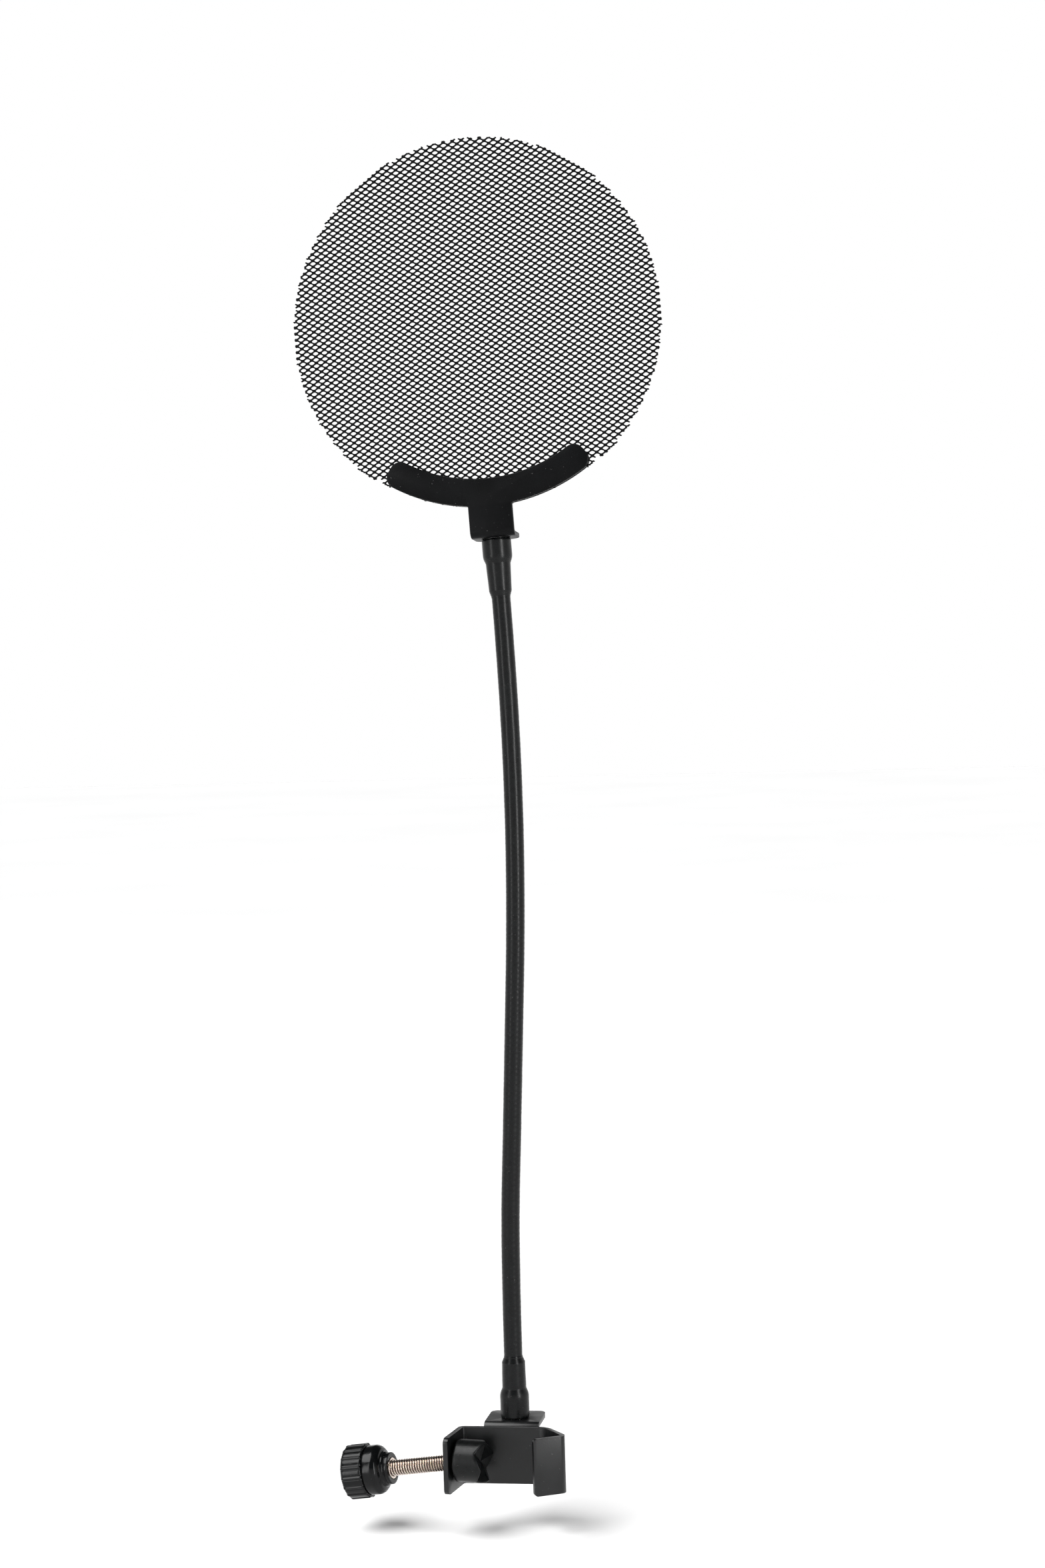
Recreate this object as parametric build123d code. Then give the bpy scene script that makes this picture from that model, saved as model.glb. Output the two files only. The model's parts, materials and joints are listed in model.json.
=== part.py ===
from build123d import *
from math import cos, radians, sin, tan
import os

# Pop filter: a round expanded-metal screen on a gooseneck with a stand clamp.
# Millimetres. +Z up, +X to the singer's right, +Y away from the singer.
# The origin is on the axis of the tube that the clamp grips, at half the clamp's height.

# --- clamp bracket: one strip of steel bent round the stand's tube ---
SHEET = 2.0
CLAMP_HEIGHT = 23.4
FLANGE_SPLAY = 9.0
FLANGE_LENGTH = 20.3
WEB_LEFT = -28.85
WEB_RIGHT = 6.4
WEB_MIDDLE_Y = 11.0
HOOK_TIP = (16.0, -1.2)
LIP_END = (4.05, -8.1)
CORNER_BEND = 2.0
EASY_BEND = 6.0
END_ROUND = 2.5
LIP_ROUND = 1.5
TAB_LEFT = -19.3
TAB_RIGHT = 3.5
TAB_TOP = 13.6
TAB_BACK_Y = 30.5
TAB_ROUND = 3.0

# --- clamp screw, knob and pad ---
SCREW_DROOP = 8.6
SCREW_ALONG_FLANGE = 10.5
THREAD_RADIUS = 3.3
THREAD_HOLE_RADIUS = 3.36
HUB_FACE = -28.0
HUB_LENGTH = 3.0
HUB_RADIUS = 6.5
COLLAR_LENGTH = 7.0
COLLAR_RADIUS = 10.1
GRIP_LENGTH = 9.5
GRIP_RADIUS = 10.85
GRIP_RIB_RADIUS = 11.25
GRIP_RIBS = 16
GRIP_RIB_WIDTH = 1.0
INSERT_RADIUS = 4.4
INSERT_LENGTH = 14.0
BALL_RADIUS = 3.5
BALL_AT = 5.2
BALL_NECK_RADIUS = 2.0
THREAD_END = 0.8
PAD_RADIUS = 8.7
PAD_BASE = -3.9
PAD_PEAK = 8.8
PAD_GROOVE_ANGLE = 125.0
PAD_GROOVE_TURN = -34.0
PAD_BORE_RADIUS = 4.6
PAD_BORE_DEPTH = 2.4
PAD_SOCKET_RADIUS = 3.8

# --- gooseneck ---
NECK_RADIUS = 3.85
CORE_RADIUS = 3.15
CORE_GAP = 0.05
JOINT_GAP = 0.3
NECK_BASE = (-7.8, 20.0, TAB_TOP)
NECK_IN_FERRULE = 26.0
NECK_JOINTS = [
    (-7.8, 20.0, 57.6),
    (-7.0, 18.8, 96.9),
    (-4.8, 17.0, 136.1),
    (-2.6, 15.4, 175.4),
    (-0.6, 14.2, 214.6),
    (0.4, 13.6, 253.9),
    (0.1, 13.9, 293.1),
    (-1.5, 15.6, 332.4),
]

# --- sleeves, ferrules and their screws ---
SLEEVE_WALL = 0.8
LOWER_SLEEVE = [(6.0, 10.4), (4.85, 24.4)]
UPPER_SLEEVE = [(6.05, 8.4), (5.05, 10.4), (4.6, 22.6), (4.2, 25.6)]
FERRULE_TOP = 20.4
FERRULE_BORE = 3.9
NECK_SCREW_RADIUS = 2.0
NECK_SCREW_LENGTH = 10.0
NECK_SCREW_HEAD_RADIUS = 3.8
NECK_SCREW_HEAD_HEIGHT = 2.6
WASHER_RADIUS = 4.8
WASHER_THICKNESS = 0.8

# --- head: screen and its bracket, upright in a frame of their own above the neck ---
HEAD_LEAN = 3.7
HEAD_TILT = 4.4
HEAD_ABOVE_JOINT = 44.2
SCREEN_RADIUS = 76.2
SCREEN_THICKNESS = 0.8
SCREEN_CENTRE_Z = 87.5
PLATE = 2.0
REAR_PLATE = 1.5
PLATE_FRONT_Y = -9.0
ARC_INNER = 63.5
ARC_OUTER = 74.75
ARC_HALF_ANGLE = 35.6
ARC_ROUND = 4.5
STEM_WIDTH = 18.2
STEM_ROUND = 0.8
FOOT_BACK_Y = 7.0
FOOT_ROUND = 4.0
FOOT_BEND = 2.0


def strip_points(points, distance):
    """The polyline moved sideways by distance, to its left where positive, with mitred corners."""
    path = [Vector(*p) for p in points]
    along = [(b - a).normalized() for a, b in zip(path, path[1:])]
    left = [Vector(-d.Y, d.X) for d in along]
    moved = [path[0] + left[0] * distance]
    for corner, before, after in zip(path[1:], left, left[1:]):
        mitre = (before + after).normalized()
        moved.append(corner + mitre * (distance / mitre.dot(before)))
    moved.append(path[-1] + left[-1] * distance)
    return moved


def bent_strip(points, radii, thickness):
    """The edge view of a sheet bent to the right at each corner of points, as a face."""
    half = thickness / 2
    outside = FilletPolyline(*strip_points(points, half), radius=[r + half for r in radii])
    inside = FilletPolyline(*strip_points(points, -half), radius=[r - half for r in radii])
    ends = [Line(outside @ 0, inside @ 0), Line(outside @ 1, inside @ 1)]
    return make_face(outside.edges() + inside.edges() + ends)


def rod(radius, low, high):
    """A cylinder about Z from low to high."""
    return Pos(0, 0, (low + high) / 2) * Cylinder(radius, high - low)


def revolved(outline):
    """A solid turned about Z from a list of (radius, height) points."""
    face = Plane.XZ * make_face(Polyline(*outline, close=True))
    return revolve(face, Axis.Z)


def edges_near(shape, length, *points):
    """The straight edges of about this length whose middles are nearest to the points."""
    short = [e for e in shape.edges() if abs(e.length - length) < 0.02]
    return [min(short, key=lambda e: (e.center() - Vector(*p)).length) for p in points]


def along(start, end):
    """A frame at start whose Z points to end."""
    start, end = Vector(*start), Vector(*end)
    return Location(Plane(start, x_dir=(1, 0, 0), z_dir=end - start))


# --- frames of the clamp screw and the pad ---
flange_way = Vector(-sin(radians(FLANGE_SPLAY)), -cos(radians(FLANGE_SPLAY)))
pad_axis = Vector(cos(radians(FLANGE_SPLAY)), -sin(radians(FLANGE_SPLAY)), 0)
inner_corner = Vector(WEB_LEFT + SHEET / 2, WEB_MIDDLE_Y - SHEET / 2)
screw_entry = inner_corner + flange_way * SCREW_ALONG_FLANGE
screw_axis = pad_axis * cos(radians(SCREW_DROOP)) + Vector(0, 0, sin(radians(SCREW_DROOP)))
ball_centre = screw_entry + screw_axis * BALL_AT
screw_frame = Location(Plane(screw_entry, x_dir=-flange_way, z_dir=screw_axis))
pad_frame = Location(Plane(ball_centre, x_dir=-flange_way, z_dir=pad_axis))

# --- frame of the head: it leans to the left and back, as the top of the neck does ---
head_turn = Rotation(-HEAD_TILT, -HEAD_LEAN, 0)
head_up = (head_turn * Location((0, 0, 1))).position
head_foot = Vector(*NECK_JOINTS[-1]) + head_up * HEAD_ABOVE_JOINT
head_frame = Location(head_foot) * head_turn
neck_points = [NECK_BASE] + NECK_JOINTS + [tuple(head_foot)]


def clamp_bracket():
    flange_end = Vector(WEB_LEFT, WEB_MIDDLE_Y) + flange_way * FLANGE_LENGTH
    points = [flange_end, (WEB_LEFT, WEB_MIDDLE_Y), (WEB_RIGHT, WEB_MIDDLE_Y), HOOK_TIP, LIP_END]
    plan = bent_strip(points, [CORNER_BEND, EASY_BEND, CORNER_BEND], SHEET)
    half = CLAMP_HEIGHT / 2
    body = Pos(0, 0, -half) * extrude(plan, CLAMP_HEIGHT)
    ends = [(flange_end.X, flange_end.Y, z) for z in (-half, half)]
    body = fillet(edges_near(body, SHEET, *ends), END_ROUND)
    ends = [(*LIP_END, z) for z in (-half, half)]
    body = fillet(edges_near(body, SHEET, *ends), LIP_ROUND)
    middle_z = TAB_TOP - SHEET / 2
    side = [(WEB_MIDDLE_Y, 0), (WEB_MIDDLE_Y, middle_z), (TAB_BACK_Y, middle_z)]
    face = Plane.YZ * bent_strip(side, [CORNER_BEND], SHEET)
    tab = Pos(TAB_LEFT, 0, 0) * extrude(face, TAB_RIGHT - TAB_LEFT)
    corners = [(x, TAB_BACK_Y, middle_z) for x in (TAB_LEFT, TAB_RIGHT)]
    tab = fillet(edges_near(tab, SHEET, *corners), TAB_ROUND)
    body = body + tab
    body -= screw_frame * rod(THREAD_HOLE_RADIUS, -2 * SHEET, 2 * SHEET)
    return body - Pos(*NECK_BASE) * rod(NECK_SCREW_RADIUS + 0.1, -2 * SHEET, SHEET)


def clamp_screw():
    thread = rod(THREAD_RADIUS, HUB_FACE - INSERT_LENGTH + 1, THREAD_END)
    thread = chamfer(thread.edges().group_by(Axis.Z)[-1], 0.6)
    neck = rod(BALL_NECK_RADIUS, THREAD_END - 0.5, BALL_AT)
    return screw_frame * (thread + neck + Pos(0, 0, BALL_AT) * Sphere(BALL_RADIUS))


def knob_insert():
    ring = rod(INSERT_RADIUS, HUB_FACE - INSERT_LENGTH, HUB_FACE)
    return screw_frame * (ring - rod(THREAD_RADIUS + 0.02, HUB_FACE - INSERT_LENGTH, HUB_FACE))


def clamp_knob():
    collar_top = HUB_FACE - HUB_LENGTH
    grip_top = collar_top - COLLAR_LENGTH
    hub = rod(HUB_RADIUS, collar_top - 1, HUB_FACE)
    collar = rod(COLLAR_RADIUS, grip_top - 1, collar_top)
    collar = fillet(collar.edges().group_by(Axis.Z)[-1], 2.5)
    grip = rod(GRIP_RADIUS, grip_top - GRIP_LENGTH, grip_top)
    grip = fillet(grip.edges().group_by(Axis.Z)[0], 1.5)
    rib_length = GRIP_LENGTH - 1.5
    rib = Box(1.5, GRIP_RIB_WIDTH, rib_length)
    rib = Pos(GRIP_RIB_RADIUS - 0.75, 0, grip_top - rib_length / 2) * rib
    for step in range(GRIP_RIBS):
        grip += Rotation(0, 0, step * 360 / GRIP_RIBS) * rib
    bore = rod(INSERT_RADIUS + 0.02, HUB_FACE - INSERT_LENGTH - 0.02, HUB_FACE + 1)
    return screw_frame * (hub + collar + grip - bore)


def pressure_pad():
    pad = rod(PAD_RADIUS, PAD_BASE, PAD_PEAK)
    pad = fillet(pad.edges().group_by(Axis.Z)[0], 0.8)
    half = radians(PAD_GROOVE_ANGLE / 2)
    peak = PAD_RADIUS * sin(radians(45))
    bottom = PAD_PEAK - peak / tan(half)
    spread = 2 * PAD_RADIUS
    vee = [(0, bottom), (spread, bottom + spread / tan(half)), (-spread, bottom + spread / tan(half))]
    wedge = Plane.XZ * make_face(Polyline(*vee, close=True))
    groove = extrude(wedge, 2 * PAD_RADIUS, both=True)
    for turn in (0, 90):
        pad -= Rotation(0, 0, PAD_GROOVE_TURN + turn) * groove
    pad -= rod(PAD_BORE_RADIUS, PAD_BASE - 1, PAD_BASE + PAD_BORE_DEPTH)
    return pad_frame * (pad - Sphere(PAD_SOCKET_RADIUS))


def pad_retainer():
    ring = rod(PAD_BORE_RADIUS - 0.08, PAD_BASE + 0.4, PAD_BASE + PAD_BORE_DEPTH - 0.4)
    hole = rod(3.0, PAD_BASE, PAD_BASE + PAD_BORE_DEPTH)
    return pad_frame * (ring - hole - Sphere(BALL_RADIUS + 0.05))


def neck_length(start, end, low, high, domed, cupped):
    """One stiff length of the gooseneck, whole, from low to high above start, in its own frame."""
    solid = rod(NECK_RADIUS, low, high)
    if domed:
        solid += Pos(0, 0, high) * Sphere(NECK_RADIUS)
    if cupped:
        solid -= Pos(0, 0, low) * Sphere(NECK_RADIUS + JOINT_GAP)
    return along(start, end), solid


def neck_pair(index):
    """The steel coil and the shrink jacket of length number index, counted from the clamp."""
    start, end = neck_points[index], neck_points[index + 1]
    first, last = index == 0, index == len(NECK_JOINTS)
    length = (Vector(*end) - Vector(*start)).length
    low = NECK_IN_FERRULE - TAB_TOP if first else 0
    high = length - (NECK_IN_FERRULE - TAB_TOP) if last else length
    frame, solid = neck_length(start, end, low, high, not last, not first)
    reach = rod(CORE_RADIUS, low - NECK_RADIUS, high + NECK_RADIUS)
    core = frame * (solid & reach)
    jacket = frame * (solid - rod(CORE_RADIUS + CORE_GAP, low - NECK_RADIUS, high + 2 * NECK_RADIUS))
    return core, jacket


def sleeve_and_ferrule(steps):
    """A stepped shrink sleeve over a ferrule, standing on Z = 0: steps are (radius, upper end)."""
    outline = [(FERRULE_BORE, steps[-1][1])]
    low = 0
    outer = []
    for radius, top in steps:
        outer += [(radius, low + (0.6 if low else 0)), (radius, top)]
        low = top
    root = steps[0][0] - SLEEVE_WALL
    upper = FERRULE_BORE + 0.15
    shoulder = steps[0][1] - 1.5
    inner = [(upper, FERRULE_TOP + 0.02), (upper + 0.02, shoulder + 0.6), (root, shoulder - 1), (root, 0)]
    sleeve = revolved([outline[0], (FERRULE_BORE, FERRULE_TOP + 0.02)] + inner + outer)
    core = [(0, 0), (root - 0.02, 0), (root - 0.02, shoulder - 1.1), (upper - 0.02, shoulder + 0.5)]
    ferrule = revolved(core + [(upper - 0.02, FERRULE_TOP), (0, FERRULE_TOP)])
    ferrule -= rod(FERRULE_BORE - 0.02, NECK_IN_FERRULE - TAB_TOP - 0.02, FERRULE_TOP + 1)
    return sleeve, ferrule - rod(NECK_SCREW_RADIUS + 0.02, -1, NECK_SCREW_LENGTH)


def neck_screw_and_washer():
    """The screw that holds a ferrule, its shank up and the sheet's far side at Z = 0."""
    shank = rod(NECK_SCREW_RADIUS, -WASHER_THICKNESS, NECK_SCREW_LENGTH)
    head_top = -WASHER_THICKNESS
    head = rod(NECK_SCREW_HEAD_RADIUS, head_top - NECK_SCREW_HEAD_HEIGHT, head_top)
    head = fillet(head.edges().group_by(Axis.Z)[0], 1.2)
    slot = Box(0.9, 4.4, 3.0)
    recess = Pos(0, 0, head_top - NECK_SCREW_HEAD_HEIGHT) * (slot + Rotation(0, 0, 90) * slot)
    washer = rod(WASHER_RADIUS, -WASHER_THICKNESS, 0)
    washer -= rod(NECK_SCREW_RADIUS + 0.02, -WASHER_THICKNESS, 0)
    return shank + head - recess, washer


def arc_band():
    """The bracket's arc as a flat face about the screen's centre, opening downward."""
    ring = Circle(ARC_OUTER) - Circle(ARC_INNER)
    reach = 2 * ARC_OUTER
    side = reach * tan(radians(ARC_HALF_ANGLE))
    wedge = make_face(Polyline((0, 0), (-side, -reach), (side, -reach), close=True))
    band = ring & wedge
    return fillet(band.vertices(), ARC_ROUND)


def upright(face, front_y, thickness):
    """A flat face in X and Z, drawn about the screen's centre, as a plate with its front at front_y."""
    placed = Location(Plane((0, front_y, SCREEN_CENTRE_Z), x_dir=(1, 0, 0), z_dir=(0, -1, 0))) * face
    return extrude(placed, -thickness)


def head_bracket():
    arc = upright(arc_band(), PLATE_FRONT_Y, PLATE)
    stem_top = SCREEN_CENTRE_Z - (ARC_INNER + ARC_OUTER) / 2
    middle = PLATE_FRONT_Y + PLATE / 2
    side = [(FOOT_BACK_Y, PLATE / 2), (middle, PLATE / 2), (middle, stem_top)]
    stem = Plane.YZ * bent_strip(side, [FOOT_BEND], PLATE)
    stem = Pos(-STEM_WIDTH / 2, 0, 0) * extrude(stem, STEM_WIDTH)
    corners = [(x, FOOT_BACK_Y, PLATE / 2) for x in (-STEM_WIDTH / 2, STEM_WIDTH / 2)]
    stem = fillet(edges_near(stem, PLATE, *corners), FOOT_ROUND)
    body = arc + stem
    drop = (ARC_OUTER**2 - (STEM_WIDTH / 2) ** 2) ** 0.5
    roots = [(x, middle, SCREEN_CENTRE_Z - drop) for x in (-STEM_WIDTH / 2, STEM_WIDTH / 2)]
    body = fillet(edges_near(body, PLATE, *roots), STEM_ROUND)
    return head_frame * (body - rod(NECK_SCREW_RADIUS + 0.1, -1, 2 * PLATE))


def screen():
    return head_frame * upright(Circle(SCREEN_RADIUS), PLATE_FRONT_Y + PLATE, SCREEN_THICKNESS)


def rear_arc():
    front = PLATE_FRONT_Y + PLATE + SCREEN_THICKNESS
    return head_frame * upright(arc_band(), front, REAR_PLATE)


def build():
    nodes = {
        "clamp_bracket": clamp_bracket(),
        "clamp_screw": clamp_screw(),
        "clamp_knob": clamp_knob(),
        "knob_insert": knob_insert(),
        "pressure_pad": pressure_pad(),
        "pad_retainer": pad_retainer(),
        "head_bracket": head_bracket(),
        "rear_arc": rear_arc(),
        "mesh_screen": screen(),
    }
    base = Pos(*NECK_BASE)
    flip = Rotation(180, 0, 0)
    screw, washer = neck_screw_and_washer()
    sleeve, ferrule = sleeve_and_ferrule(LOWER_SLEEVE)
    nodes["lower_sleeve"] = base * sleeve
    nodes["lower_ferrule"] = base * ferrule
    nodes["lower_neck_screw"] = base * Pos(0, 0, -SHEET) * screw
    nodes["lower_washer"] = base * Pos(0, 0, -SHEET) * washer
    sleeve, ferrule = sleeve_and_ferrule(UPPER_SLEEVE)
    nodes["upper_sleeve"] = head_frame * flip * sleeve
    nodes["upper_ferrule"] = head_frame * flip * ferrule
    above = head_frame * Pos(0, 0, PLATE) * flip
    nodes["upper_neck_screw"] = above * screw
    nodes["upper_washer"] = above * washer
    for index in range(len(neck_points) - 1):
        core, jacket = neck_pair(index)
        nodes[f"neck_core_{index}"] = core
        nodes[f"neck_jacket_{index}"] = jacket
    return nodes


os.makedirs("parts", exist_ok=True)
for name, solid in build().items():
    export_step(solid, f"parts/{name}.step")
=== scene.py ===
import json
import math

import bmesh
import bpy
from mathutils import Matrix, Vector, noise


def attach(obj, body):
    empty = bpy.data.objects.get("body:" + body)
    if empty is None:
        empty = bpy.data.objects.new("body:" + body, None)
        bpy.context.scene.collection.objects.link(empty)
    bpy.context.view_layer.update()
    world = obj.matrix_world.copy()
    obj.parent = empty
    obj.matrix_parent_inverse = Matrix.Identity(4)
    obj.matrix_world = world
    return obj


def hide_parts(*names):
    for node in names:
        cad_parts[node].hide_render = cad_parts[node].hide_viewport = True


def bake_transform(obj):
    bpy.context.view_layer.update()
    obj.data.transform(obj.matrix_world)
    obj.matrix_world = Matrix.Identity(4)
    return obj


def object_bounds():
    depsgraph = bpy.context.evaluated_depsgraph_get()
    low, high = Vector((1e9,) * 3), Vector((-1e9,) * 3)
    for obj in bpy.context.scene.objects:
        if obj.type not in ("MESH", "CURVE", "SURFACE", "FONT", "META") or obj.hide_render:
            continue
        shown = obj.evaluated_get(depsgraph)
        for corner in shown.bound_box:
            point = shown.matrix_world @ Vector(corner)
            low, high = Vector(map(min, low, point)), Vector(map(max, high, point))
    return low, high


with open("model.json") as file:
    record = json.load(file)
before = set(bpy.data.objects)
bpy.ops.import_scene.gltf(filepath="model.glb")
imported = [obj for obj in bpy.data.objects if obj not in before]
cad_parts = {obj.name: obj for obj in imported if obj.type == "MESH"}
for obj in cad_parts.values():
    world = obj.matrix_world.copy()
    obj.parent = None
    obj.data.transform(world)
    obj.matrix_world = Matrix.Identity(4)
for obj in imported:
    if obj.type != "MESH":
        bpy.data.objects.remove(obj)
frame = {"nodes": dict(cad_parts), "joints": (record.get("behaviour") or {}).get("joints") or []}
cad_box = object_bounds()

MM = 0.001
JOINTS = {joint["name"]: joint for joint in frame["joints"]}
NECK_JOINTS = [Vector(JOINTS[f"neck_bend_{k}"]["pos_m"]) for k in range(1, 9)]

# --- sizes repeated from the part, in metres ---
NECK_RADIUS = 3.85 * MM
TAB_TOP = 13.6 * MM
HEAD_LEAN = math.radians(3.7)
HEAD_TILT = math.radians(4.4)
HEAD_ABOVE_JOINT = 44.2 * MM
SCREEN_CENTRE_Z = 87.5 * MM
SCREEN_RADIUS = 76.2 * MM
SCREEN_FRONT_Y = -7.0 * MM
SCREEN_THICKNESS = 0.8 * MM

# --- expanded metal ---
DIAMOND_LONG = 3.75 * MM
DIAMOND_SHORT = 2.55 * MM
HOLE_LONG = 2.34 * MM
HOLE_SHORT = 1.42 * MM
SHEET_THICKNESS = 0.5 * MM
TRIMMED_RADIUS = 74.9 * MM
TRIMMED_ANGLE = math.radians(38)

# --- gooseneck jacket ---
COIL_PITCH = 2.2 * MM
COIL_SHOW = 0.035 * MM
CORE_RADIUS = 3.15 * MM
WIRE_RADIUS = 0.6 * MM
NECK_STEP = 0.4 * MM

# --- clamp screw and knob: HUB_FACE and BALL_AT are places along the screw, counted from the flange ---
THREAD_PITCH = 1.1 * MM
THREAD_RADIUS = 3.3 * MM
THREAD_DEPTH = 0.62 * MM
HUB_FACE = -28.0 * MM
BALL_AT = 5.2 * MM
GRIP_RADIUS = 10.85 * MM
GRIP_RIBS = 16

# --- pad: lengths in millimetres, counted from its ball; angles in radians ---
PAD_RADIUS = 8.7
PAD_BASE = -3.9
PAD_PEAK = 8.8
PAD_GROOVE_ANGLE = math.radians(125)
PAD_GROOVE_TURN = math.radians(-34)

# --- camera ---
CAMERA_LENS = 71.9
CAMERA_SPOT = Vector((0.2165, -1.2419, 0.3440))
CAMERA_TURN = math.radians(9.59)
CAMERA_PITCH = math.radians(-3.04)
CAMERA_ROLL = math.radians(-1.73)


# ---------------------------------------------------------------- meshes

def add_object(name, mesh):
    piece = bpy.data.objects.new(name, mesh)
    bpy.context.scene.collection.objects.link(piece)
    return piece


def mesh_piece(name, verts, faces, smooth=True):
    """A new object from vertices and faces, in metres in the part's frame."""
    mesh = bpy.data.meshes.new(name)
    mesh.from_pydata([tuple(v) for v in verts], [], faces)
    mesh.validate()
    work = bmesh.new()
    work.from_mesh(mesh)
    bmesh.ops.recalc_face_normals(work, faces=work.faces)
    work.to_mesh(mesh)
    work.free()
    if smooth:
        mesh.shade_smooth()
    return add_object(name, mesh)


def lathe(outline, sides, radius_at=None):
    """Vertices and faces of a solid turned about Z from (radius, height) points, closed at both ends.
    radius_at(radius, height, angle) may change each point's radius."""
    verts = []
    for radius, height in outline:
        for k in range(sides):
            angle = math.tau * k / sides
            r = radius_at(radius, height, angle) if radius_at else radius
            verts.append(Vector((r * math.cos(angle), r * math.sin(angle), height)))
    faces = []
    for row in range(len(outline) - 1):
        for k in range(sides):
            nxt = (k + 1) % sides
            a, b = row * sides, (row + 1) * sides
            faces.append((a + k, a + nxt, b + nxt, b + k))
    last = (len(outline) - 1) * sides
    faces.append(tuple(reversed(range(sides))))
    faces.append(tuple(last + k for k in range(sides)))
    return verts, faces


def rounded(outline, radius, steps=4):
    """The outline of (radius, height) points with its inner corners rounded off by arcs."""
    points = [Vector(p) for p in outline]
    out = [points[0]]
    for before, corner, after in zip(points, points[1:], points[2:]):
        reach = min(radius, (before - corner).length * 0.45, (after - corner).length * 0.45)
        start = corner + (before - corner).normalized() * reach
        end = corner + (after - corner).normalized() * reach
        for k in range(steps + 1):
            t = k / steps
            out.append((1 - t) ** 2 * start + 2 * t * (1 - t) * corner + t**2 * end)
    out.append(points[-1])
    return [(p.x, p.y) for p in out]


def frame_along(origin, z_way, x_way):
    """The matrix of a frame at origin with Z along z_way and X as near to x_way as it goes."""
    z = Vector(z_way).normalized()
    y = z.cross(Vector(x_way)).normalized()
    x = y.cross(z)
    turn = Matrix((x, y, z)).transposed().to_4x4()
    return Matrix.Translation(origin) @ turn


def placed(verts, matrix):
    return [matrix @ Vector(v) for v in verts]


def softened(node, name, width, segments=2):
    """A copy of a CAD node's mesh with its sharp edges rounded as a coat of paint rounds them."""
    mesh = frame["nodes"][node].data.copy()
    mesh.materials.clear()
    work = bmesh.new()
    work.from_mesh(mesh)
    bmesh.ops.remove_doubles(work, verts=work.verts, dist=0.002 * MM)
    bmesh.ops.dissolve_limit(work, angle_limit=math.radians(1), verts=work.verts, edges=work.edges)
    work.to_mesh(mesh)
    work.free()
    piece = add_object(name, mesh)
    soft = piece.modifiers.new("soft_edges", "BEVEL")
    soft.width = width
    soft.segments = segments
    soft.limit_method = "ANGLE"
    soft.angle_limit = math.radians(35)
    soft.harden_normals = True
    mesh.shade_smooth()
    return piece


# ---------------------------------------------------------------- materials

def new_material(name):
    material = bpy.data.materials.new(name)
    material.use_nodes = True
    shader = material.node_tree.nodes["Principled BSDF"]
    return material, material.node_tree, shader


def noise_node(tree, scale, detail=3.0, roughness=0.55, stretch=(1, 1, 1)):
    """Noise in the part's own coordinates, in features of about 1/scale metres."""
    where = tree.nodes.new("ShaderNodeTexCoord")
    size = tree.nodes.new("ShaderNodeMapping")
    size.inputs["Scale"].default_value = stretch
    texture = tree.nodes.new("ShaderNodeTexNoise")
    texture.inputs["Scale"].default_value = scale
    texture.inputs["Detail"].default_value = detail
    texture.inputs["Roughness"].default_value = roughness
    tree.links.new(where.outputs["Object"], size.inputs["Vector"])
    tree.links.new(size.outputs["Vector"], texture.inputs["Vector"])
    return texture


def ramp(tree, source, stops):
    """A colour ramp on a socket; stops are (position, colour)."""
    node = tree.nodes.new("ShaderNodeValToRGB")
    while len(node.color_ramp.elements) < len(stops):
        node.color_ramp.elements.new(0.5)
    for element, (position, colour) in zip(node.color_ramp.elements, stops):
        element.position = position
        element.color = (*colour, 1)
    tree.links.new(source, node.inputs["Fac"])
    return node


def grey(value):
    return (value, value, value)


def spread(tree, source, low, high):
    """Maps a 0 to 1 socket onto low to high."""
    node = tree.nodes.new("ShaderNodeMapRange")
    node.inputs["From Min"].default_value = 0.3
    node.inputs["From Max"].default_value = 0.7
    node.inputs["To Min"].default_value = low
    node.inputs["To Max"].default_value = high
    tree.links.new(source, node.inputs["Value"])
    return node


def add_bump(tree, shader, source, distance, strength=1.0, under=None):
    bump = tree.nodes.new("ShaderNodeBump")
    bump.inputs["Distance"].default_value = distance
    bump.inputs["Strength"].default_value = strength
    tree.links.new(source, bump.inputs["Height"])
    if under:
        tree.links.new(under.outputs["Normal"], bump.inputs["Normal"])
    tree.links.new(bump.outputs["Normal"], shader.inputs["Normal"])
    return bump


def coated(name, dark, light, rough, grain_scale, grain_height, shine, blotch_scale=60):
    """Black paint, plastic or rubber: two close tones with sparse pale specks where it's rubbed or
    dusty, uneven gloss and a fine raised grain."""
    material, tree, shader = new_material(name)
    blotches = noise_node(tree, blotch_scale, detail=4)
    tones = ramp(tree, blotches.outputs["Fac"], [(0.35, dark), (0.65, light)])
    dust = noise_node(tree, 1300, detail=1)
    specks = ramp(tree, dust.outputs["Fac"], [(0.74, grey(0.0)), (0.80, grey(0.05))])
    both = tree.nodes.new("ShaderNodeMix")
    both.data_type = "RGBA"
    both.blend_type = "LIGHTEN"
    both.inputs["Factor"].default_value = 1.0
    tree.links.new(tones.outputs["Color"], both.inputs["A"])
    tree.links.new(specks.outputs["Color"], both.inputs["B"])
    tree.links.new(both.outputs["Result"], shader.inputs["Base Color"])
    gloss = spread(tree, blotches.outputs["Fac"], rough[0], rough[1])
    tree.links.new(gloss.outputs["Result"], shader.inputs["Roughness"])
    grain = noise_node(tree, grain_scale, detail=2)
    add_bump(tree, shader, grain.outputs["Fac"], grain_height)
    shader.inputs["Specular IOR Level"].default_value = shine
    return material


def powder_coat():
    dark, light = (0.0016, 0.0017, 0.0019), (0.0028, 0.003, 0.0034)
    return coated("powder_coat", dark, light, (0.34, 0.44), 1800, 0.014 * MM, 0.09)


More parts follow.
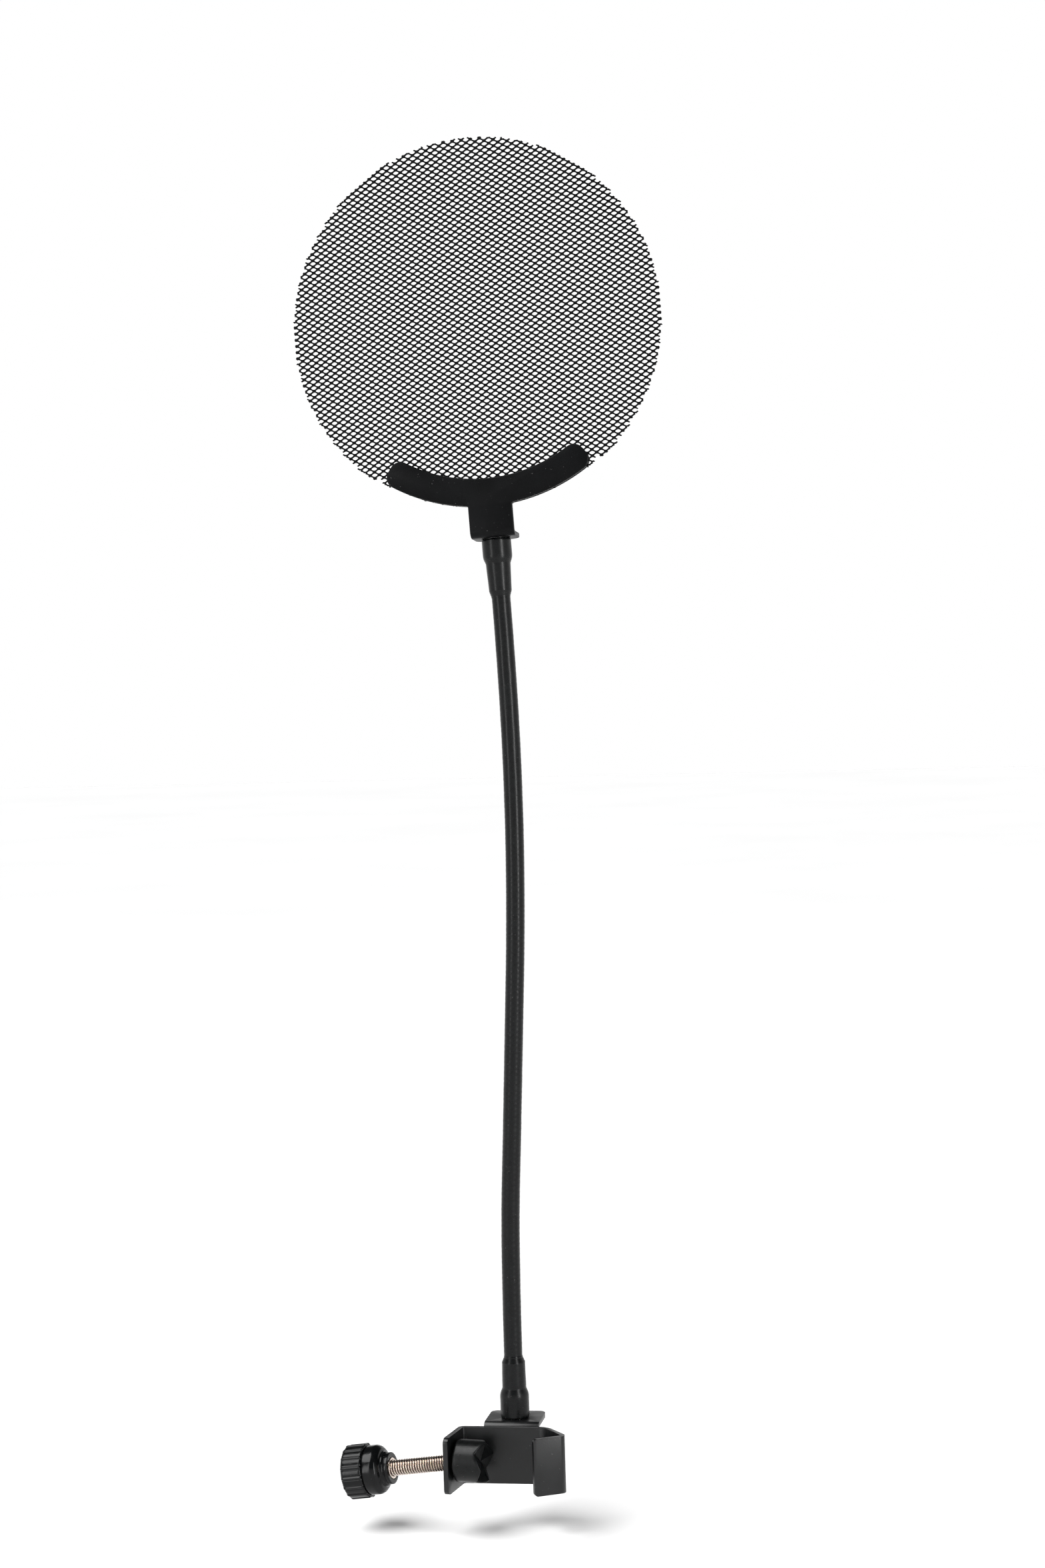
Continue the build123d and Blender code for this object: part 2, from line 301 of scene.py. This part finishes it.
def clamp_coat():
    """The same coat on the clamp, shinier where stands and hands have rubbed it."""
    dark, light = (0.0016, 0.0018, 0.002), (0.0045, 0.0048, 0.0052)
    return coated("clamp_coat", dark, light, (0.3, 0.42), 1500, 0.02 * MM, 0.36, blotch_scale=120)


def screen_coat():
    dark, light = (0.0016, 0.0018, 0.002), (0.003, 0.0033, 0.0036)
    return coated("screen_coat", dark, light, (0.36, 0.5), 2400, 0.01 * MM, 0.09)


def shrink_tube():
    dark, light = (0.0014, 0.0016, 0.0018), (0.003, 0.0035, 0.0037)
    return coated("shrink_tube", dark, light, (0.24, 0.32), 1100, 0.01 * MM, 0.2, blotch_scale=420)


def knob_plastic():
    dark, light = (0.0016, 0.0018, 0.002), (0.0028, 0.0031, 0.0034)
    return coated("knob_plastic", dark, light, (0.12, 0.22), 700, 0.01 * MM, 0.2, blotch_scale=200)


def pad_rubber():
    dark, light = (0.002, 0.0023, 0.0024), (0.004, 0.0045, 0.0046)
    return coated("pad_rubber", dark, light, (0.26, 0.36), 1600, 0.015 * MM, 0.18, blotch_scale=500)


def black_oxide():
    dark, light = (0.004, 0.004, 0.004), (0.008, 0.008, 0.008)
    return coated("black_oxide", dark, light, (0.3, 0.44), 1800, 0.01 * MM, 0.3, blotch_scale=300)


def bare_steel(name, colours, rough, stretch=(1, 1, 1), scale=500):
    """Bare or plated steel: tints that drift over the surface and uneven polish."""
    material, tree, shader = new_material(name)
    tint = noise_node(tree, scale, detail=4, stretch=stretch)
    stops = [(0.3 + 0.4 * k / (len(colours) - 1), colour) for k, colour in enumerate(colours)]
    tones = ramp(tree, tint.outputs["Fac"], stops)
    tree.links.new(tones.outputs["Color"], shader.inputs["Base Color"])
    polish = noise_node(tree, scale * 3, detail=3, stretch=stretch)
    gloss = spread(tree, polish.outputs["Fac"], rough[0], rough[1])
    tree.links.new(gloss.outputs["Result"], shader.inputs["Roughness"])
    add_bump(tree, shader, polish.outputs["Fac"], 0.01 * MM)
    shader.inputs["Metallic"].default_value = 1.0
    return material


def plated_zinc():
    tints = [(0.74, 0.68, 0.52), (0.72, 0.62, 0.54), (0.62, 0.52, 0.48), (0.70, 0.69, 0.55)]
    return bare_steel("plated_zinc", tints, (0.12, 0.24))


def painted_root_shade():
    """The bottoms of the thread's grooves: painted shade, a darkened plating colour that stands in for
    the shade falling in the grooves.
    """
    tints = [(0.10, 0.08, 0.065), (0.13, 0.10, 0.085), (0.08, 0.06, 0.055)]
    return bare_steel("painted_root_shade", tints, (0.3, 0.45))


def turned_steel():
    return bare_steel("turned_steel", [grey(0.42), grey(0.52)], (0.25, 0.42))


def spring_wire():
    return bare_steel("spring_wire", [grey(0.3), grey(0.42)], (0.3, 0.5), scale=900)


def pale_floor():
    material, tree, shader = new_material("pale_floor")
    mottle = noise_node(tree, 3)
    tones = ramp(tree, mottle.outputs["Fac"], [(0.3, grey(0.90)), (0.7, grey(0.93))])
    tree.links.new(tones.outputs["Color"], shader.inputs["Base Color"])
    shader.inputs["Roughness"].default_value = 0.8
    return material


POWDER = powder_coat()
CLAMP_COAT = clamp_coat()
SCREEN = screen_coat()
SHRINK = shrink_tube()
KNOB = knob_plastic()
RUBBER = pad_rubber()
ZINC = plated_zinc()
PAINTED_ROOT_SHADE = painted_root_shade()
STEEL = turned_steel()
WIRE = spring_wire()
OXIDE = black_oxide()


def finished(piece, material, slot, body, *nodes):
    """Gives a piece its material and lets it ride on a body in place of CAD nodes; slot is not used."""
    piece.data.materials.clear()
    piece.data.materials.append(material)
    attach(piece, body)
    if nodes:
        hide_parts(*nodes)
    return piece


# ---------------------------------------------------------------- head

def head_matrix():
    """The head's own frame: origin under its foot where the neck ends, Z up the neck, Y to its back."""
    turn = Matrix.Rotation(-HEAD_TILT, 4, "X") @ Matrix.Rotation(-HEAD_LEAN, 4, "Y")
    up = turn @ Vector((0, 0, 1))
    return Matrix.Translation(NECK_JOINTS[-1] + up * HEAD_ABOVE_JOINT) @ turn


def bond_point(column, row):
    """The middle of a bond between strands, in the screen's plane: rows are half a diamond apart."""
    shift = 0.5 if row % 2 else 0.0
    return Vector(((column + shift) * DIAMOND_LONG, row * DIAMOND_SHORT / 2))


def hole_outline(centre, steps=3):
    """A rounded diamond hole about centre, as points counted from its right corner."""
    power = 1.5
    points = []
    for k in range(4 * steps):
        angle = math.tau * k / (4 * steps)
        c, s = math.cos(angle), math.sin(angle)
        x = math.copysign(abs(c) ** (2 / power), c) * HOLE_LONG / 2
        y = math.copysign(abs(s) ** (2 / power), s) * HOLE_SHORT / 2
        points.append(centre + Vector((x, y)))
    return points


def cell_outline(centre, steps=3):
    """The diamond cell about centre, as many points as the hole, so that the two are joined by quads."""
    corners = [Vector((DIAMOND_LONG / 2, 0)), Vector((0, DIAMOND_SHORT / 2))]
    corners += [-corners[0], -corners[1]]
    points = []
    for start, end in zip(corners, corners[1:] + corners[:1]):
        points += [centre + start.lerp(end, k / steps) for k in range(steps)]
    return points


def inside_screen(point):
    """Whether a point of the screen's plane is on it: it's trimmed flush with the bracket's arc."""
    behind_arc = abs(math.atan2(point.x, -point.y)) < TRIMMED_ANGLE
    return point.length < (TRIMMED_RADIUS if behind_arc else SCREEN_RADIUS)


def expanded_metal():
    """The screen: every diamond hole whole, cut off raggedly round the edge as snips leave it."""
    work = bmesh.new()
    columns = int(SCREEN_RADIUS / DIAMOND_LONG) + 1
    rows = int(2 * SCREEN_RADIUS / DIAMOND_SHORT) + 1
    for row in range(-rows, rows + 1):
        for column in range(-columns, columns + 1):
            centre = bond_point(column, row)
            ring, edge = hole_outline(centre), cell_outline(centre)
            kept = [inside_screen(p) for p in edge]
            inner = [work.verts.new((p.x, 0, p.y)) for p in ring]
            outer = [work.verts.new((p.x, 0, p.y)) for p in edge]
            for k in range(len(ring)):
                nxt = (k + 1) % len(ring)
                if kept[k] and kept[nxt]:
                    work.faces.new((inner[k], inner[nxt], outer[nxt], outer[k]))
    bmesh.ops.remove_doubles(work, verts=work.verts, dist=0.02 * MM)
    loose = [v for v in work.verts if not v.link_faces]
    bmesh.ops.delete(work, geom=loose, context="VERTS")
    mesh = bpy.data.meshes.new("screen_sheet")
    work.to_mesh(mesh)
    work.free()
    middle_y = SCREEN_FRONT_Y + SCREEN_THICKNESS / 2
    mesh.transform(head_matrix() @ Matrix.Translation((0, middle_y, SCREEN_CENTRE_Z)))
    piece = add_object("screen_sheet", mesh)
    thick = piece.modifiers.new("thickness", "SOLIDIFY")
    thick.thickness = SHEET_THICKNESS
    thick.offset = 0
    return finished(piece, SCREEN, "screen_coat", "head", "mesh_screen")


def head_plates():
    bracket = softened("head_bracket", "head_bracket_plate", 0.45 * MM, 3)
    finished(bracket, POWDER, "powder_coat", "head", "head_bracket")
    rear = softened("rear_arc", "rear_arc_plate", 0.3 * MM)
    finished(rear, POWDER, "powder_coat", "head", "rear_arc")


# ---------------------------------------------------------------- gooseneck

def neck_line():
    """The neck's middle line at rest: from the clamp's tab through the joints to the head's foot."""
    base = Vector((NECK_JOINTS[0].x, NECK_JOINTS[0].y, TAB_TOP))
    return [base] + NECK_JOINTS + [head_matrix().translation.copy()]


def curve_point(points, index, t):
    """A point between points[index] and the next one, on a Catmull-Rom curve through them all."""
    p1, p2 = points[index], points[index + 1]
    p0 = points[index - 1] if index else p1 * 2 - p2
    p3 = points[index + 2] if index + 2 < len(points) else p2 * 2 - p1
    return 0.5 * (
        2 * p1
        + (p2 - p0) * t
        + (2 * p0 - 5 * p1 + 4 * p2 - p3) * t**2
        + (3 * p1 - p0 - 3 * p2 + p3) * t**3
    )


def sampled_neck():
    """Points about NECK_STEP apart with their distances along the neck, and the joints' distances."""
    points = neck_line()
    samples, joints_at = [(points[0], 0.0)], []
    travelled = 0.0
    for index in range(len(points) - 1):
        steps = max(4, round((points[index + 1] - points[index]).length / NECK_STEP))
        for k in range(1, steps + 1):
            point = curve_point(points, index, k / steps)
            travelled += (point - samples[-1][0]).length
            samples.append((point, travelled))
        joints_at.append(travelled)
    return samples, joints_at[:-1]


def jacket_radius(distance, angle):
    """The shrink jacket follows the steel coil under it faintly and isn't quite even."""
    coil = math.cos(math.tau * distance / COIL_PITCH - angle)
    uneven = noise.noise(Vector((distance * 260, math.cos(angle) * 1.6, math.sin(angle) * 1.6)))
    return NECK_RADIUS + COIL_SHOW * (coil - 1) / 2 + 0.03 * MM * (uneven - 0.6)


def coil_radius(distance, angle):
    """The round wire of the steel coil, wound tight."""
    turn = (distance / COIL_PITCH - angle / math.tau) % 1.0
    return CORE_RADIUS - WIRE_RADIUS + WIRE_RADIUS * math.sqrt(max(0.0, 1 - (2 * turn - 1) ** 2))


def neck_tube(name, samples, start_at, end_at, radius_at, sides):
    """An open tube along the neck between two distances, and the points where it starts and ends."""
    rows = [k for k, (_, d) in enumerate(samples) if start_at - 1e-9 <= d <= end_at + 1e-9]
    verts, faces = [], []
    for k in rows:
        point, distance = samples[k]
        before, after = samples[max(0, k - 1)][0], samples[min(len(samples) - 1, k + 1)][0]
        ring = frame_along(point, after - before, (1, 0, 0))
        for side in range(sides):
            angle = math.tau * side / sides
            radius = radius_at(distance, angle)
            verts.append(ring @ Vector((radius * math.cos(angle), radius * math.sin(angle), 0)))
    for row in range(len(rows) - 1):
        for side in range(sides):
            nxt = (side + 1) % sides
            a, b = row * sides, (row + 1) * sides
            faces.append((a + side, a + nxt, b + nxt, b + side))
    piece = mesh_piece(name, verts, faces)
    return piece, samples[rows[0]][0], samples[rows[-1]][0]


def neck_stretch(index, samples, start_at, end_at):
    """The jacket and the coil under it between two distances, laid over joint number index as the neck
    lies at rest.
    """
    layers = [
        ("neck_skin", "neck_jacket", jacket_radius, SHRINK, "neck_black", 40),
        ("neck_coil", "neck_core", coil_radius, WIRE, "spring_steel", 24),
    ]
    for look, node, radius_at, material, slot, sides in layers:
        name = f"{look}_{index + 1}"
        piece, start, end = neck_tube(name, samples, start_at, end_at, radius_at, sides)
        piece.data.materials.append(material)
        nodes = [f"{node}_{index}"]
        if index == 7:
            nodes.append(f"{node}_8")
        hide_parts(*nodes)
        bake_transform(piece)


def gooseneck():
    samples, joints_at = sampled_neck()
    lengths = [d for _, d in samples]
    first, last = 16 * MM, lengths[-1] - 16 * MM
    cuts = [first] + [(a + b) / 2 for a, b in zip(joints_at, joints_at[1:])] + [last]
    snapped = [min(lengths, key=lambda d: abs(d - cut)) for cut in cuts]
    for index in range(8):
        neck_stretch(index, samples, snapped[index], snapped[index + 1])


def sleeve(name, matrix, steps, body, node):
    """A stretch of shrink tube over a ferrule: steps are (radius, lower end, upper end)."""
    inner = NECK_RADIUS - 0.1 * MM
    outline = [(inner, steps[0][1])]
    for radius, low, high in steps:
        outline += [(radius, low), (radius, high)]
    outline.append((inner, steps[-1][2] + 0.4 * MM))
    outline = rounded(outline, 1.1 * MM, 5)

    def crinkled(radius, height, angle):
        wave = noise.noise(Vector((height * 300, math.cos(angle) * 2.2, math.sin(angle) * 2.2)))
        return radius + 0.025 * MM * (wave - 0.6)

    verts, faces = lathe(dense_outline(outline, 0.5 * MM), 64, crinkled)
    piece = mesh_piece(name, placed(verts, matrix), faces[:-2])
    finished(piece, SHRINK, "shrink_sleeve", body, node)


def sleeves():
    base = Matrix.Translation(neck_line()[0])
    lower = [(6.0, 0.0, 10.0), (5.0, 12.4, 13.4), (4.82, 22.6, 23.2), (3.93, 25.2, 25.6)]
    upper = [(6.02, 0.0, 7.8), (5.05, 10.2, 11.2), (4.65, 20.8, 21.4), (3.93, 23.6, 24.0)]
    metres = [[tuple(v * MM for v in step) for step in steps] for steps in (lower, upper)]
    sleeve("lower_sleeve_skin", base, metres[0], "clamp", "lower_sleeve")
    flip = head_matrix() @ Matrix.Rotation(math.pi, 4, "X")
    sleeve("upper_sleeve_skin", flip, metres[1], "head", "upper_sleeve")


# ---------------------------------------------------------------- clamp

def screw_matrix():
    joint = JOINTS["screw_turn"]
    return frame_along(joint["pos_m"], joint["axis"], (0, 1, 0))


def pad_matrix():
    joint = JOINTS["pad_swivel"]
    return frame_along(joint["pos_m"], joint["axis"], (0, 1, 0))


def thread_radius(radius, height, angle):
    """A rolled V thread with a small flat on its crest."""
    turn = (height / THREAD_PITCH - angle / math.tau) % 1.0
    tooth = min(1.0, max(0.0, abs(turn - 0.5) * 2 * 1.25 - 0.1))
    return radius - THREAD_DEPTH * tooth


def thumb_screw():
    low, high = HUB_FACE - 12 * MM, 0.8 * MM
    step = THREAD_PITCH / 14
    rows = int((high - low) / step)
    outline = [(THREAD_RADIUS, low + k * step) for k in range(rows + 1)]
    verts, faces = lathe(outline, 56, thread_radius)
    tail = rounded(
        [(2.6 * MM, high), (2.0 * MM, high + 0.4 * MM), (2.0 * MM, BALL_AT - 2.9 * MM)], 0.2 * MM
    )
    ball = [
        (3.5 * MM * math.sin(a), BALL_AT - 3.5 * MM * math.cos(a))
        for a in [math.radians(35 + 140 * k / 16) for k in range(17)]
    ]
    more_verts, more_faces = lathe(tail + ball, 40)
    offset = len(verts)
    verts += more_verts
    faces += [tuple(i + offset for i in f) for f in more_faces]
    piece = mesh_piece("threaded_screw", placed(verts, screw_matrix()), faces)
    finished(piece, ZINC, "plated_screw", "thumb_screw", "clamp_screw")
    # Faces deep in the thread's grooves get the second material: painted shade, dark plating that stands
    # in for the shade in the grooves.
    piece.data.materials.append(PAINTED_ROOT_SHADE)
    to_screw = screw_matrix().inverted()
    for face in piece.data.polygons:
        spot = to_screw @ face.center
        deep = spot.xy.length < THREAD_RADIUS - 0.55 * THREAD_DEPTH
        face.material_index = 1 if deep and spot.z < high else 0


def insert_ring():
    r, bore = 4.35 * MM, 3.35 * MM
    top = HUB_FACE + 0.25 * MM
    outline = [(r, HUB_FACE - 2 * MM), (r, top), (bore, top), (bore, HUB_FACE - 2 * MM)]
    verts, faces = lathe(rounded(outline, 0.3 * MM), 56)
    piece = mesh_piece("insert_ring", placed(verts, screw_matrix()), faces[:-2])
    finished(piece, ZINC, "plated_screw", "thumb_screw", "knob_insert")


def dense_outline(outline, step):
    """The outline with points added so that none are further apart than about step."""
    out = []
    for (r0, h0), (r1, h1) in zip(outline, outline[1:]):
        cuts = max(1, round(math.hypot(r1 - r0, h1 - h0) / step))
        out += [(r0 + (r1 - r0) * k / cuts, h0 + (h1 - h0) * k / cuts) for k in range(cuts)]
    return out + [outline[-1]]


def fluted(radius, height, angle):
    """The grip's surface: flat lands between narrow raised beads, each with a groove at its foot."""
    if height > -38.2 * MM or radius < 10.3 * MM:
        return radius
    place = (angle * GRIP_RIBS / math.tau) % 1.0
    off = min(place, 1 - place) * math.tau * GRIP_RADIUS / GRIP_RIBS / MM
    bead = math.exp(-((off / 0.42) ** 4))
    groove = math.exp(-(((off - 0.78) / 0.2) ** 2))
    return radius + (0.36 * bead - 0.14 * groove) * MM


def knob():
    """The moulded knob: stepped hub, smooth collar and a ribbed grip."""
    hub = [(4.4, -31.0), (4.4, -28.0), (6.5, -28.0), (6.5, -29.4), (6.2, -29.7), (7.0, -30.2)]
    hub.append((7.2, -31.2))
    collar = [(8.4, -31.6), (9.5, -32.6), (10.1, -34.0), (10.1, -37.7), (9.6, -37.9), (9.6, -38.1)]
    grip = [(10.4, -38.1), (10.85, -38.5), (10.85, -46.4), (10.2, -47.2), (9.2, -47.5), (0.001, -47.5)]
    outline = rounded([(r * MM, z * MM) for r, z in hub + collar + grip], 0.4 * MM, 4)
    verts, faces = lathe(dense_outline(outline, 0.7 * MM), GRIP_RIBS * 24, fluted)
    piece = mesh_piece("moulded_knob", placed(verts, screw_matrix()), faces[:-2])
    finished(piece, KNOB, "knob_plastic", "thumb_screw", "clamp_knob")


def groove_height(x, y):
    """The height, in mm, of the pad's end with its two crossed V grooves."""
    slope = 1 / math.tan(PAD_GROOVE_ANGLE / 2)
    turn = PAD_GROOVE_TURN
    bottom = PAD_PEAK - PAD_RADIUS * math.sin(math.radians(45)) * slope
    across = abs(x * math.cos(turn) + y * math.sin(turn))
    along = abs(y * math.cos(turn) - x * math.sin(turn))
    nearest = min(across, along)
    return bottom + slope * (math.sqrt(nearest**2 + 0.03) - 0.03)


def pad():
    """The pressure pad: a round block with two crossed V grooves in its end and worn, rounded edges."""
    sides, walls, rings = 128, 10, 24
    base = PAD_BASE
    wall_low = base + 0.9
    rows = [(4.6, lambda x, y: base), (7.9, lambda x, y: base), (8.6, lambda x, y: base + 0.3)]
    for step in range(walls + 1):
        share = step / walls

        def wall_height(x, y, t=share):
            return wall_low + (groove_height(x, y) - 0.65 - wall_low) * t

        rows.append((PAD_RADIUS, wall_height))
    for inset, drop in [(0.08, 0.34), (0.28, 0.1), (0.6, 0.0)]:
        rows.append((PAD_RADIUS - inset, lambda x, y, d=drop: groove_height(x, y) - d))
    for step in range(1, rings):
        rows.append(((PAD_RADIUS - 0.6) * (1 - step / rings), groove_height))
    verts, faces = [], []
    for radius, height in rows:
        for k in range(sides):
            x, y = radius * math.cos(math.tau * k / sides), radius * math.sin(math.tau * k / sides)
            verts.append(Vector((x, y, height(x, y))) * MM)
    for row in range(len(rows) - 1):
        for k in range(sides):
            nxt = (k + 1) % sides
            a, b = row * sides, (row + 1) * sides
            faces.append((a + k, a + nxt, b + nxt, b + k))
    faces.append(tuple((len(rows) - 1) * sides + k for k in range(sides)))
    piece = mesh_piece("grooved_pad", placed(verts, pad_matrix()), faces)
    finished(piece, RUBBER, "pad_rubber", "pad", "pressure_pad")


def clamp_plate():
    plate = softened("clamp_bracket", "clamp_plate", 0.45 * MM, 3)
    finished(plate, CLAMP_COAT, "powder_coat", "clamp", "clamp_bracket")


def carried_over():
    """Materials of the CAD nodes whose own shape is right."""
    finishes = {"ferrule": STEEL, "washer": STEEL, "neck_screw": OXIDE, "retainer": STEEL}
    for name, node in frame["nodes"].items():
        for word, material in finishes.items():
            if word in name:
                for place in node.material_slots:
                    place.material = material


# ---------------------------------------------------------------- stage

def soft_box(name, spot, target, width, height, power, tint=(1, 1, 1)):
    light = bpy.data.lights.new(name, "AREA")
    light.shape = "RECTANGLE"
    light.size = width
    light.size_y = height
    light.energy = power
    light.color = tint
    lamp = add_object(name, light)
    lamp.location = spot
    lamp.rotation_euler = (Vector(target) - Vector(spot)).to_track_quat("-Z", "Y").to_euler()


def white_room():
    """Bright walls all round up to well above the camera's view, and a dark ceiling over them."""
    world = bpy.data.worlds.new("white_room")
    bpy.context.scene.world = world
    world.use_nodes = True
    tree = world.node_tree
    where = tree.nodes.new("ShaderNodeTexCoord")
    split = tree.nodes.new("ShaderNodeSeparateXYZ")
    tree.links.new(where.outputs["Generated"], split.inputs["Vector"])
    height = ramp(tree, split.outputs["Z"], [(0.27, grey(1.0)), (0.4, grey(0.06))])
    tree.links.new(height.outputs["Color"], tree.nodes["Background"].inputs["Color"])


def studio():
    floor_z = cad_box[0].z - 0.012
    half = 6.0
    ways = [(-1, -1), (1, -1), (1, 1), (-1, 1)]
    corners = [(x * half, y * half, floor_z) for x, y in ways]
    floor = mesh_piece("floor", corners, [(0, 1, 2, 3)], smooth=False)
    floor.data.materials.append(pale_floor())
    middle = (cad_box[0] + cad_box[1]) / 2
    soft_box("left_box", (-1.0, -1.25, 0.35), middle, 0.25, 1.7, 8)
    soft_box("right_box", (1.2, -1.0, 0.35), middle, 0.25, 1.7, 20)
    key = bpy.data.lights.new("key", "SUN")
    key.energy = 3.4
    key.angle = math.radians(45)
    lamp = add_object("key", key)
    lamp.rotation_euler = Vector((0.45, 0.25, -1.0)).to_track_quat("-Z", "Y").to_euler()
    white_room()
    bpy.context.scene.view_settings.view_transform = "Standard"


def camera():
    eye = bpy.data.cameras.new("camera")
    eye.lens = CAMERA_LENS
    eye.sensor_width = 36
    eye.clip_start = 0.05
    view = add_object("camera", eye)
    aim = Matrix.Rotation(CAMERA_TURN, 4, "Z") @ Matrix.Rotation(math.pi / 2 + CAMERA_PITCH, 4, "X")
    view.matrix_world = Matrix.Translation(CAMERA_SPOT) @ aim @ Matrix.Rotation(CAMERA_ROLL, 4, "Z")
    bpy.context.scene.camera = view


expanded_metal()
head_plates()
gooseneck()
sleeves()
thumb_screw()
insert_ring()
knob()
pad()
clamp_plate()
carried_over()
studio()
camera()
